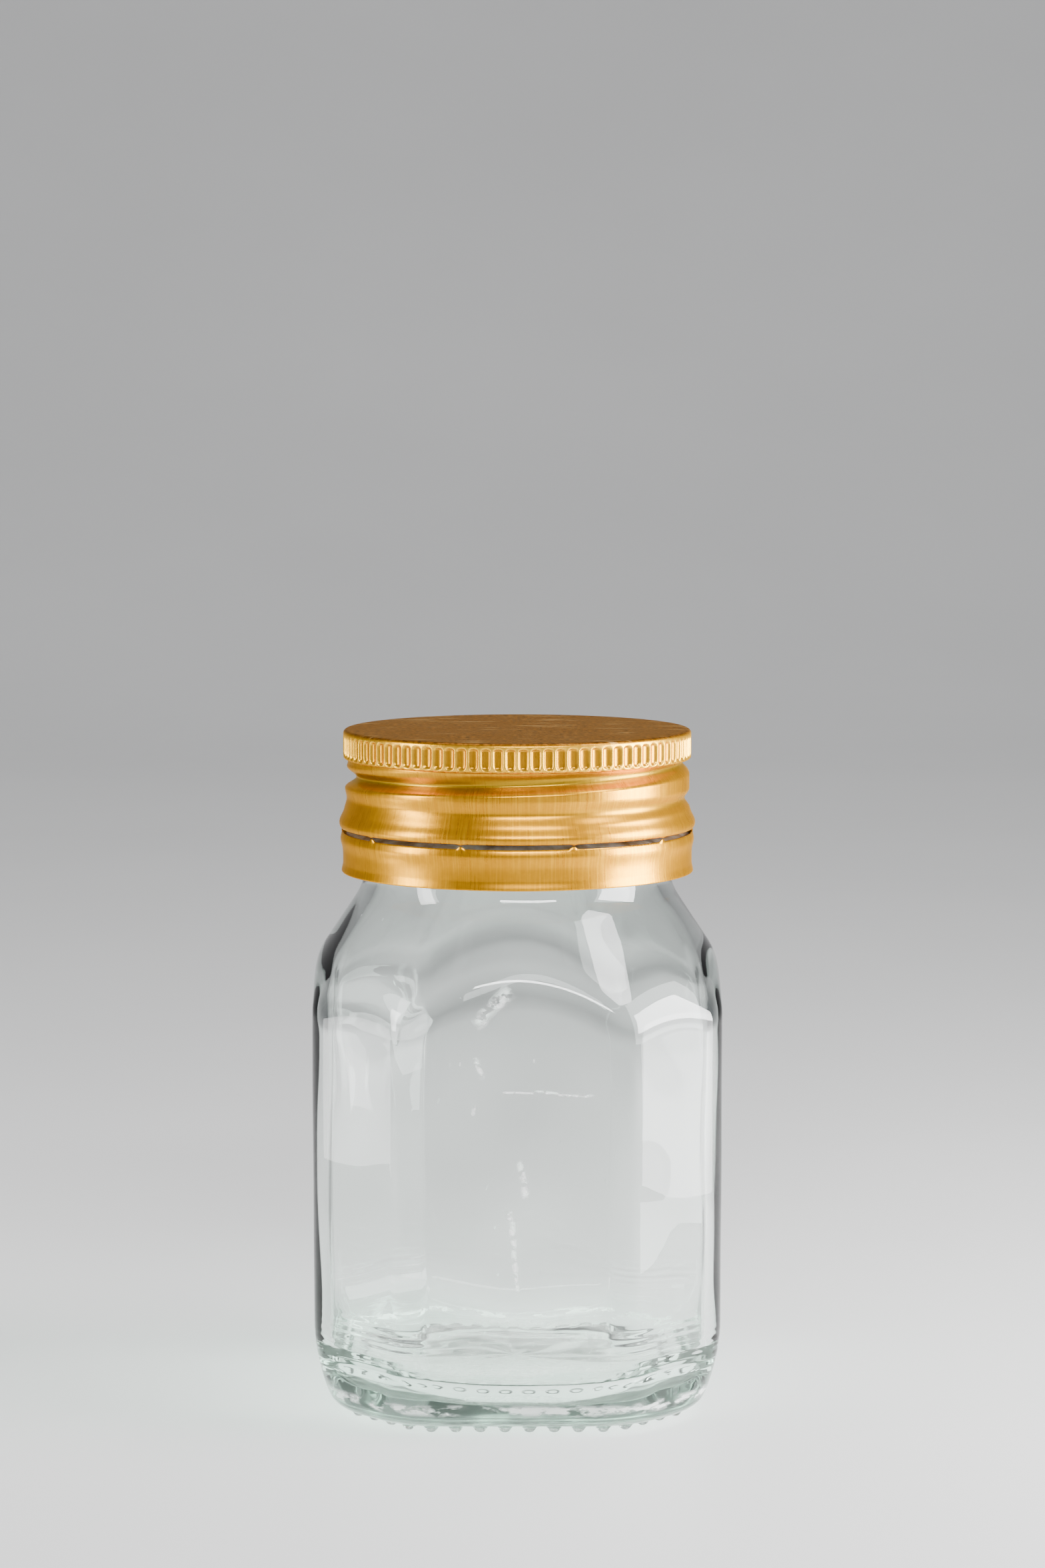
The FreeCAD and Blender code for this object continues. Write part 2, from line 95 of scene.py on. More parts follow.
FINISH_RADIUS = 23.9
THREAD_HEIGHT = 1.3
THREAD_PITCH = 4.2
THREAD_HALF_WIDTH = 1.4
THREAD_FRONT_Z = TOP_Z - 8.4
THREAD_LOW_TURN = -330.0
THREAD_HIGH_TURN = 190.0
THREAD_FADE = 40.0
BASE_NUBS = 48
NUB_ROW_INSET = 5.4           # the row of nubs follows the outline this far inside it
NUB_ROW_EDGE_RADIUS = 8.0
NUB_ROW_RADIUS = PANEL_APOTHEM - NUB_ROW_INSET
NUB_RADIUS = 1.05

# cap
SHEET = 0.25
KNURL_RADIUS = 26.6
KNURL_BOTTOM = TOP_Z - 4.5
KNURL_COUNT = 90
KNURL_EDGE_IN = 0.6           # the band's lower edge turns in this far
FLUTE_DEPTH = 0.42
FLUTE_WIDTH = 0.86            # of a knurl pitch
FLUTE_TOP = TOP_Z - 0.7
FLUTE_FOOT = KNURL_BOTTOM + 0.2
FLUTE_FOOT_HEIGHT = 1.3       # height over which a flute narrows to its round foot
FLUTE_END_ROUND = 0.35        # height over which the band rounds in to the skirt at a flute
RIB_END_ROUND = 1.1           # the same at a rib
TOP_EDGE_RADIUS = 0.62
SKIRT_RADIUS = 26.35
NECK_IN = 0.45                # the skirt is this much slimmer right under the knurl
TUCK_DEPTH_BELOW_TOP = 10.5   # the middle of the groove above the bead
CAP_BEAD_DEPTH_BELOW_TOP = 14.2
CAP_BEAD_SWELL = 0.9
CAP_BEAD_WIDTH = 1.5
SKIRT_END = TOP_Z - 14.9
GROOVE_FRONT_Z = TOP_Z - 6.3
GROOVE_PRESS = 1.75
GROOVE_UPPER_WIDTH = 2.0
GROOVE_LOWER_WIDTH = 1.6
GROOVE_LOW_TURN = -270.0
GROOVE_FULL_TURN = -90.0
GROOVE_HIGH_TURN = 150.0

# tamper ring and liner
RING_TOP = TOP_Z - 15.6
RING_FOOT = TOP_Z - 21.7
RING_RADIUS = 26.72
RING_CREST = 0.34             # the ring bulges over the locking bead
RING_CREST_DEPTH_BELOW_TOP = 16.7
RING_CREST_WIDTH = 1.1
RING_FLARE = 0.22
RING_FLARE_HEIGHT = 1.4
RING_DENTS = 0.03
BRIDGES = 10
BRIDGE_FIRST = 18.0
BRIDGE_HEIGHT = 0.4
LINER_RADIUS = LINER_BOX[1][0] - INSIDE_BOX
LINER_ROUND = 0.3

# scuffs on the front panel: (x, z) ends and half width
WEAR_LINES = (((0.2, 42.0), (1.3, 36.0), 0.7), ((-1.0, 35.0), (0.2, 21.5), 0.55),
              ((-2.5, 52.1), (11.5, 51.9), 0.25), ((-6.5, 62.0), (-0.8, 67.3), 1.2),
              ((-6.2, 57.5), (-5.0, 54.0), 0.6))

# mesh density
GLASS_COLUMNS = BASE_NUBS * 15
NUB_ROW_STEPS = 7200          # steps along the row of nubs when its length is measured
SKIRT_COLUMNS = 480
RING_COLUMNS = 720
LINER_COLUMNS = 180
# columns of one knurl pitch, as shares of it: close together on the flute's walls
KNURL_STEPS = (0.0, 0.06, 0.11, 0.16, 0.22, 0.30, 0.5, 0.70, 0.78, 0.84, 0.89, 0.94)


# ---- mesh helpers -------------------------------------------------------------------

def directions(columns):
    return np.arange(columns) * 2 * math.pi / columns


def ease(value):
    value = np.clip(value, 0.0, 1.0)
    return value * value * (3 - 2 * value)


def soft_min(a, b, width):
    """The smaller of two values, rounded where they are within width of each other."""
    near = np.maximum(width - np.abs(a - b), 0.0) / width
    return np.minimum(a, b) - near * near * width / 4


def soft_max(a, b, width):
    return -soft_min(-a, -b, width)


def spread(start, end, step):
    """Values from start up or down to end, about one step apart, without the end."""
    count = max(2, int(round(abs(end - start) / step)))
    return np.linspace(start, end, count, endpoint=False)


def skin(turn, rows, first_pole=None, last_pole=None):
    """Vertices and faces of a closed skin through rings of (radius, height).

    turn holds the direction of each column. A pole closes an end with a point on the
    axis at that height. Without poles the last ring is joined to the first, as a hoop.
    """
    columns = len(turn)
    vertices = np.vstack([
        np.column_stack([radius * np.sin(turn), -radius * np.cos(turn), height])
        for radius, height in rows])
    across = np.arange(columns)
    after = (across + 1) % columns
    count = len(rows)
    faces = []
    for i in range(count if first_pole is None else count - 1):
        low = i * columns
        high = ((i + 1) % count) * columns
        faces.append(np.column_stack([low + across, low + after, high + after, high + across]))
    faces = np.vstack(faces).tolist()
    if first_pole is not None:
        centre = len(vertices)
        vertices = np.vstack([vertices, [0, 0, first_pole], [0, 0, last_pole]])
        last = (count - 1) * columns
        faces += np.column_stack([after, across, np.full(columns, centre)]).tolist()
        faces += np.column_stack([last + across, last + after,
                                  np.full(columns, centre + 1)]).tolist()
    return vertices, faces


def piece_of(name, *skins):
    """One object from one or more closed skins, scaled from millimetres to metres."""
    vertices = []
    faces = []
    for points, loops in skins:
        start = len(vertices)
        vertices += (points * MM).tolist()
        faces += [[start + corner for corner in loop] for loop in loops]
    mesh = bpy.data.meshes.new(name)
    mesh.from_pydata(vertices, [], faces)
    mesh.shade_smooth()
    mesh.update()
    piece = bpy.data.objects.new(name, mesh)
    bpy.context.scene.collection.objects.link(piece)
    return piece


def ring_row(radius, height, columns):
    """One row with the same radius and height all round, unless they are arrays."""
    return (np.broadcast_to(np.asarray(radius, float), columns).copy(),
            np.broadcast_to(np.asarray(height, float), columns).copy())


# ---- glass jar ----------------------------------------------------------------------

def outline_radius(turn, inset, edge_radius, corner_out=0.0):
    """Radius of the plan outline: a square with cut corners and rounded edges."""
    eighth = math.pi / 4
    corner = CORNER_APOTHEM + corner_out
    side = np.floor(turn / eighth).astype(int)
    from_side = turn - side * eighth
    even = side % 2 == 0
    here = np.where(even, PANEL_APOTHEM, corner) - inset
    after = np.where(even, corner, PANEL_APOTHEM) - inset
    to_next = eighth - from_side
    # the centre of the rounding between this side and the next one
    centre_out = here - edge_radius
    centre_along = ((after - edge_radius) - centre_out * math.cos(eighth)) / math.sin(eighth)
    centre_back = (centre_out - (after - edge_radius) * math.cos(eighth)) / math.sin(eighth)
    along_ray = centre_out * np.cos(from_side) + centre_along * np.sin(from_side)
    square = centre_out ** 2 + centre_along ** 2
    rounded = along_ray + np.sqrt(np.maximum(along_ray ** 2 - square + edge_radius ** 2, 0))
    on_this = here * np.tan(from_side) <= centre_along
    on_next = after * np.tan(to_next) <= centre_back
    return np.where(on_this, here / np.cos(from_side),
                    np.where(on_next, after / np.cos(to_next), rounded))


def shoulder_radius(height):
    return PANEL_APOTHEM + (ARCH_TOP_Z - height) * SHOULDER_SLOPE


def corner_share(turn):
    """1 in the middle of a cut corner, 0 on a panel."""
    return 0.5 - 0.5 * np.cos(4 * turn)


def outer_wave(turn, height):
    """The moulded surface is never quite flat: slow swells, and chill ripples low down."""
    swell = (0.05 * np.sin(3 * turn + 0.9 + height / 13.0)
             + 0.04 * np.sin(7 * turn + 2.1 - height / 7.0) * np.sin(height / 9.0 + 0.4))
    low = np.exp(-((height - 12.0) / 3.5) ** 2)
    ripple = 0.04 * np.sin(2 * math.pi * height / 1.2) * low * corner_share(turn) ** 2
    return swell + ripple - 0.09


def inner_wave(turn, height):
    """The wall's inside is freely blown, so it varies more than the outside."""
    return (0.16 * np.sin(2 * turn + 0.6 + height / 17.0)
            + 0.12 * np.sin(5 * turn + 1.7 - height / 10.0) * np.sin(height / 12.0 + 1.1)
            + 0.09 * np.sin(9 * turn + height / 6.0)
            + 0.05 * np.sin(3 * turn - height / 3.4 + 0.5))


def wall_radius(turn, height):
    """The outside from the top of the heel to the neck."""
    body = soft_min(outline_radius(turn, 0, EDGE_RADIUS),
                    np.full_like(turn, shoulder_radius(height)), ARCH_SOFTNESS)
    waved = body + outer_wave(turn, height) * ease((82.0 - height) / 8.0)
    return soft_max(waved, np.full_like(turn, NECK_RADIUS), NECK_SOFTNESS)


def thread_height(turn, height):
    """How far the moulded thread stands out of the finish."""
    out = np.zeros_like(turn)
    degrees = np.degrees(turn)
    for lap in (-2, -1, 0, 1):
        along = degrees + 360.0 * lap
        away = np.abs(height - THREAD_FRONT_Z - THREAD_PITCH * along / 360.0)
        ridge = np.cos(math.pi / 2 * np.clip(away / THREAD_HALF_WIDTH, 0, 1)) ** 2
        fade = (ease((along - THREAD_LOW_TURN) / THREAD_FADE)
                * ease((THREAD_HIGH_TURN - along) / THREAD_FADE))
        out = np.maximum(out, THREAD_HEIGHT * ridge * fade)
    return out


def finish_radius(turn, height):
    """The neck, the locking bead and the threaded finish."""
    rise = ease((height - (BEAD_Z - 3.2)) / 2.8)
    fall = ease((height - (BEAD_Z + 0.3)) / 1.9)
    plain = (NECK_RADIUS + (BEAD_RADIUS - NECK_RADIUS) * rise
             - (BEAD_RADIUS - FINISH_RADIUS) * fall)
    return plain + thread_height(turn, height)


def heel_turn_in():
    return math.asin((HEEL_HEIGHT - NUB_HEIGHT - HEEL_CORNER_RADIUS)
                     / (HEEL_SWEEP_RADIUS - HEEL_CORNER_RADIUS))


def heel_steps():
    """(inset, height) down the heel: a long sweep, then a tight corner to the base."""
    turn_in = heel_turn_in()
    steps = []
    for angle in np.linspace(0, turn_in, 54, endpoint=False):
        steps.append((HEEL_SWEEP_RADIUS * (1 - math.cos(angle)),
                      HEEL_HEIGHT - HEEL_SWEEP_RADIUS * math.sin(angle)))
    corner_in = HEEL_SWEEP_RADIUS - (HEEL_SWEEP_RADIUS - HEEL_CORNER_RADIUS) * math.cos(turn_in)
    for angle in np.linspace(turn_in, math.pi / 2, 20):
        steps.append((corner_in - HEEL_CORNER_RADIUS * math.cos(angle),
                      NUB_HEIGHT + HEEL_CORNER_RADIUS * (1 - math.sin(angle))))
    return steps


def heel_radius(turn, inset, height):
    """The heel's outline grows rounder towards the foot."""
    foot = 1 - ease((height - NUB_HEIGHT) / (HEEL_HEIGHT - NUB_HEIGHT))
    edge = EDGE_RADIUS + (FOOT_EDGE_RADIUS - EDGE_RADIUS) * foot
    return outline_radius(turn, inset, edge, FOOT_CORNER_OUT * foot)


def nub_row_radius(turn):
    return outline_radius(turn, NUB_ROW_INSET, NUB_ROW_EDGE_RADIUS)


def nub_turns():
    """Where the nubs stand: half a pitch off mid-front, then evenly along their row."""
    turn = directions(NUB_ROW_STEPS)
    radius = nub_row_radius(turn)
    x = np.append(radius * np.sin(turn), 0.0)
    y = np.append(-radius * np.cos(turn), -radius[0])
    run = np.concatenate([[0.0], np.cumsum(np.hypot(np.diff(x), np.diff(y)))])
    wanted = (np.arange(BASE_NUBS) + 0.5) * run[-1] / BASE_NUBS
    return np.interp(wanted, run, np.append(turn, 2 * math.pi))


def nub_drop(turn, radius):
    """How far the nubs reach down below the base: half a ball at each place."""
    places = nub_turns()
    reach = nub_row_radius(places)
    x = (radius * np.sin(turn))[:, None] - reach * np.sin(places)
    y = (radius * np.cos(turn))[:, None] - reach * np.cos(places)
    away = np.hypot(x, y).min(axis=1) / NUB_RADIUS
    return (NUB_HEIGHT - INSIDE_BOX) * np.sqrt(1 - np.clip(away, 0, 1) ** 2)


def outside_rows(turn):
    """Rings from the middle of the base, up the outside, to the lip."""
    rows = []
    for radius in spread(1.0, PUSH_UP_RADIUS, 1.0):
        dome = PUSH_UP_RISE * (1 - (radius / PUSH_UP_RADIUS) ** 2)
        rows.append(ring_row(radius, NUB_HEIGHT + dome, len(turn)))
    foot = heel_radius(turn, *heel_steps()[-1])
    inner_edge = nub_row_radius(turn) - 1.1 * NUB_RADIUS
    land_start = np.full_like(turn, PUSH_UP_RADIUS)
    for share in np.linspace(0, 1, 4, endpoint=False):
        radius = land_start + (inner_edge - land_start) * share
        rows.append((radius, np.full_like(turn, NUB_HEIGHT)))
    for share in np.linspace(0, 1, 12, endpoint=False):
        radius = inner_edge + (foot - inner_edge) * share
        rows.append((radius, NUB_HEIGHT - nub_drop(turn, radius)))
    for inset, height in heel_steps()[::-1]:
        fade = ease((height - 3.0) / 6.0)
        radius = heel_radius(turn, inset, height) + outer_wave(turn, height) * fade
        rows.append((radius, height - nub_drop(turn, radius)))
    ripple_end = HEEL_HEIGHT + 6.0
    heights = np.concatenate([spread(HEEL_HEIGHT + 0.2, ripple_end, 0.2),
                              spread(ripple_end, BEAD_Z - 4.0, 0.5)])
    for height in heights:
        rows.append((wall_radius(turn, height), np.full_like(turn, height)))
    lip_start = MOUTH_Z - LIP_RADIUS
    for height in spread(BEAD_Z - 4.0, lip_start, 0.25):
        rows.append((finish_radius(turn, height), np.full_like(turn, height)))
    for angle in np.linspace(0, math.pi / 2, 7):
        rows.append(ring_row(FINISH_RADIUS - LIP_RADIUS * (1 - math.cos(angle)),
                             lip_start + LIP_RADIUS * math.sin(angle), len(turn)))
    return rows


def inner_radius(turn, height):
    cone_inset = WALL / math.cos(math.atan(SHOULDER_SLOPE))
    body = soft_min(outline_radius(turn, WALL, INNER_EDGE_RADIUS),
                    np.full_like(turn, shoulder_radius(height) - cone_inset),
                    INNER_ARCH_SOFTNESS)
    settle = ease((80.0 - height) / 12.0) * ease((height - FLOOR_Z) / 10.0)
    waved = body + inner_wave(turn, height) * settle
    return soft_max(waved, np.full_like(turn, BORE_RADIUS), NECK_SOFTNESS)


def inside_rows(turn):
    """Rings from the lip down the bore and the wall to the middle of the floor."""
    rows = []
    for angle in np.linspace(0, math.pi / 2, 6):
        rows.append(ring_row(BORE_RADIUS + 0.5 * (1 - math.sin(angle)),
                             MOUTH_Z - 0.5 * (1 - math.cos(angle)), len(turn)))
    for height in spread(MOUTH_Z - 1.0, FLOOR_Z + FLOOR_SWEEP, 0.6):
        rows.append((inner_radius(turn, height), np.full_like(turn, height)))
    wall = inner_radius(turn, FLOOR_Z + FLOOR_SWEEP)
    for angle in np.linspace(0, math.pi / 2, 18):
        level = FLOOR_Z + FLOOR_SWEEP * (1 - math.sin(angle))
        rows.append((FLOOR_RIM + (wall - FLOOR_RIM) * math.cos(angle),
                     level + floor_wave(turn, FLOOR_RIM) * math.sin(angle)))
    for radius in spread(FLOOR_RIM - 0.8, 1.0, 1.0):
        rows.append((np.full_like(turn, radius),
                     FLOOR_Z + floor_rise(radius) + floor_wave(turn, radius)))
    return rows


def floor_rise(radius):
    """The inner floor follows the push-up a little."""
    return 0.7 * max(1 - (radius / FLOOR_RIM) ** 2, 0.0)


def floor_wave(turn, radius):
    """Low swells in the inner floor, which the mould never touches."""
    return 0.01 * radius * (np.sin(3 * turn + 0.7 + radius / 6.0)
                            + 0.6 * np.sin(8 * turn - radius / 4.0))


def glass_jar():
    turn = directions(GLASS_COLUMNS)
    rows = outside_rows(turn) + inside_rows(turn)
    return piece_of("jar_glass", skin(turn, rows, NUB_HEIGHT + PUSH_UP_RISE,
                                      FLOOR_Z + floor_rise(0.0)))


# ---- screw cap ----------------------------------------------------------------------

def groove_press(along):
    upper = (GROOVE_HIGH_TURN - along) / (GROOVE_HIGH_TURN - GROOVE_FULL_TURN)
    lower = (along - GROOVE_LOW_TURN) / (GROOVE_FULL_TURN - GROOVE_LOW_TURN)
    deep = np.sin(math.pi / 2 * np.clip(upper, 0, 1))
    return GROOVE_PRESS * np.where(along >= GROOVE_FULL_TURN, deep, np.clip(lower, 0, 1))


def tuck_press(turn, depth):
    """The groove above the bead: wide and flat in front, narrow and deep at +X."""
    half_width = 1.5 + 0.4 * np.cos(turn)
    away = np.clip(np.abs(depth - TUCK_DEPTH_BELOW_TOP) / half_width, 0, 1)
    return (0.5 + 0.25 * np.sin(turn)) * (1 - ease(away))


def skirt_radius(turn, height):
    """The rolled skirt: neck-in, pressed thread, tuck and bead."""
    depth = TOP_Z - height
    radius = SKIRT_RADIUS - NECK_IN * (1 - ease((depth - 5.0) / 1.2)) - tuck_press(turn, depth)
    bead = np.exp(-((depth - CAP_BEAD_DEPTH_BELOW_TOP) / CAP_BEAD_WIDTH) ** 2)
    radius = radius + CAP_BEAD_SWELL * bead
    degrees = np.degrees(turn)
    for lap in (-1, 0):
        along = degrees + 360.0 * lap
        away = height - GROOVE_FRONT_Z - THREAD_PITCH * along / 360.0
        width = np.where(away > 0, GROOVE_UPPER_WIDTH, GROOVE_LOWER_WIDTH)
        bump = np.cos(math.pi / 2 * np.clip(np.abs(away) / width, 0, 1)) ** 2
        live = (along > GROOVE_LOW_TURN) & (along < GROOVE_HIGH_TURN)
        radius = radius - np.where(live, groove_press(along) * bump, 0)
    return radius


def off_flute(turn):
    """0 in the middle of a flute and 1 on the rib between two of them."""
    pitch = 2 * math.pi / KNURL_COUNT
    return np.abs((turn % pitch) / pitch - 0.5) * 2


def flute_depth(off, height):
    """Depth of the knurl: steep-sided pockets with a round top and a narrowing round foot."""
    foot = np.clip((height - FLUTE_FOOT) / FLUTE_FOOT_HEIGHT, 0.0, 1.0)
    half_width = FLUTE_WIDTH * np.sqrt(1 - (1 - foot) ** 2) + 0.01
    across = np.clip(off / half_width, 0, 1)
    start = ease((FLUTE_TOP - 0.3 * across ** 2 - height) / 0.3)
    return FLUTE_DEPTH * (1 - across ** 3) * start * ease(foot * 1.8)


def knurl_radius(turn, height):
    """The knurled band. Its lower edge is rounded in to the skirt, more so at the ribs."""
    off = off_flute(turn)
    end_round = FLUTE_END_ROUND + (RIB_END_ROUND - FLUTE_END_ROUND) * off ** 2
    low = np.clip((height - KNURL_BOTTOM) / end_round, 0, 1)
    rounding = KNURL_EDGE_IN * (1 - np.sqrt(1 - (1 - low) ** 2))
    return KNURL_RADIUS - flute_depth(off, height) - rounding


def knurl_directions():
    """Columns round the head, closer together on the walls of each flute."""
    steps = np.arange(KNURL_COUNT)[:, None] + np.array(KNURL_STEPS)[None, :]
    return steps.ravel() * 2 * math.pi / KNURL_COUNT


def head_skin():
    """The flat top, its rounded edge and the knurled band, closed underneath."""
    turn = knurl_directions()
    columns = len(turn)
    under = TOP_Z - SHEET
    liner_wall = LINER_RADIUS + 0.4
    ledge = FINISH_RADIUS + 0.5
    rows = []
    for radius, height in ((12.0, under), (liner_wall - 0.5, under),
                           (liner_wall - 0.15, under - 0.1), (liner_wall, under - 0.4),
                           (liner_wall, KNURL_BOTTOM + 0.7), (ledge + 0.3, KNURL_BOTTOM + 0.6),
                           (ledge, KNURL_BOTTOM + 0.3), (ledge + 0.2, KNURL_BOTTOM)):
        rows.append(ring_row(radius, height, columns))
    for height in spread(KNURL_BOTTOM, TOP_Z - TOP_EDGE_RADIUS - 0.06, 0.14):
        rows.append((knurl_radius(turn, height), np.full_like(turn, height)))
    flat_end = KNURL_RADIUS - TOP_EDGE_RADIUS
    for angle in np.linspace(math.pi / 2, 0, 9):
        rows.append(ring_row(flat_end + TOP_EDGE_RADIUS * math.sin(angle),
                             TOP_Z - INSIDE_BOX - TOP_EDGE_RADIUS * (1 - math.cos(angle)),
                             columns))
    for radius in (24.0, 20.0, 14.0, 7.0):
        dished = 0.02 * (np.sin(2 * turn + radius / 5) - 1) * (radius / 26) ** 2
        rows.append((np.full_like(turn, radius), TOP_Z - INSIDE_BOX + dished))
    return skin(turn, rows, under, TOP_Z - INSIDE_BOX)


def near_bridge(turn, half_root, half_tip):
    """1 on a torn bridge, falling to 0 at its root's edges."""
    pitch = 2 * math.pi / BRIDGES
    first = math.radians(BRIDGE_FIRST)
    off = np.abs((turn - first + pitch / 2) % pitch - pitch / 2) * SKIRT_RADIUS
    return 1 - ease((off - half_tip) / (half_root - half_tip))


def stub_height(turn):
    """The skirt's lower edge, with the short ends of the torn bridges."""
    return SKIRT_END - 0.15 * near_bridge(turn, 0.5, 0.15)


def skirt_skin():
    """The rolled skirt as one sheet, up the inside and down the outside."""
    turn = directions(SKIRT_COLUMNS)
    top = KNURL_BOTTOM + 0.25
    rim = skirt_radius(turn, SKIRT_END)
    rows = [(rim - SHEET + 0.04, stub_height(turn))]
    for height in spread(SKIRT_END + 0.1, top, 0.4):
        rows.append((skirt_radius(turn, height) - SHEET, np.full_like(turn, height)))
    for height in spread(top, SKIRT_END, 0.16):
        rows.append((skirt_radius(turn, height), np.full_like(turn, height)))
    for inward in (0.03, 0.1, 0.16):
        rows.append((rim - inward, stub_height(turn)))
    return skin(turn, rows[::-1])


def screw_cap():
    return piece_of("cap_gold", head_skin(), skirt_skin())


# ---- tamper ring and liner ----------------------------------------------------------

def ring_radius(turn, height):
    """The ring's crest over the locking bead, its waist, and its flared foot."""
    depth = TOP_Z - height
    crest = RING_CREST * np.exp(-((depth - RING_CREST_DEPTH_BELOW_TOP) / RING_CREST_WIDTH) ** 2)
    flare = RING_FLARE * ease((RING_FOOT + RING_FLARE_HEIGHT - height) / RING_FLARE_HEIGHT)
    below_crest = ease((depth - RING_CREST_DEPTH_BELOW_TOP - 0.8) / 2)
    dents = RING_DENTS * np.sin(5 * turn + 0.4) * below_crest
    return RING_RADIUS + crest + flare + dents


def ring_rows(turn):
    """Down the outside and back up the inside, with torn bridges on the top edge."""
    bridge = near_bridge(turn, 0.75, 0.12)
    rows = []
    top = RING_TOP - INSIDE_BOX + BRIDGE_HEIGHT * bridge
    lean = 0.12 * bridge
    rows.append((ring_radius(turn, RING_TOP) - 0.19 + lean, top - 0.02))
    rows.append((ring_radius(turn, RING_TOP) - 0.1 + lean, top))
    rows.append((ring_radius(turn, RING_TOP) - 0.03 + lean, top - 0.06))
    for height in spread(RING_TOP - 0.25, RING_FOOT + 0.1, 0.15):
        rows.append((ring_radius(turn, height), np.full_like(turn, height)))
    foot = ring_radius(turn, RING_FOOT)
    for inward, height in ((0.0, 0.1), (0.05, 0.02), (0.12, 0.0), (0.2, 0.03), (SHEET, 0.1)):
        rows.append((foot - inward, np.full_like(turn, RING_FOOT + INSIDE_BOX + height)))
    for height in spread(RING_FOOT + 0.4, RING_TOP - 0.25, 0.4):
        rows.append((ring_radius(turn, height) - SHEET, np.full_like(turn, height)))
    rows.append((ring_radius(turn, RING_TOP) - SHEET + lean, top - 0.08))
    return rows


def tamper_ring():
    turn = directions(RING_COLUMNS)
    return piece_of("ring_gold", skin(turn, ring_rows(turn)[::-1]))


def liner():
    low = LINER_BOX[0][2] + 0.005
    high = LINER_BOX[1][2] - 0.005
    columns = LINER_COLUMNS
    rows = [ring_row(radius, low, columns) for radius in (6.0, 12.0, 18.0, 23.0)]
    for angle in np.linspace(0, math.pi / 2, 5):
        rows.append(ring_row(LINER_RADIUS - LINER_ROUND * (1 - math.sin(angle)),
                             low + LINER_ROUND * (1 - math.cos(angle)), columns))
    for angle in np.linspace(0, math.pi / 2, 5):
        rows.append(ring_row(LINER_RADIUS - LINER_ROUND * (1 - math.cos(angle)),
                             high - LINER_ROUND * (1 - math.sin(angle)), columns))
    rows += [ring_row(radius, high, columns) for radius in (23.0, 12.0)]
    return piece_of("liner_foam", skin(directions(columns), rows, low, high))


# ---- materials ----------------------------------------------------------------------

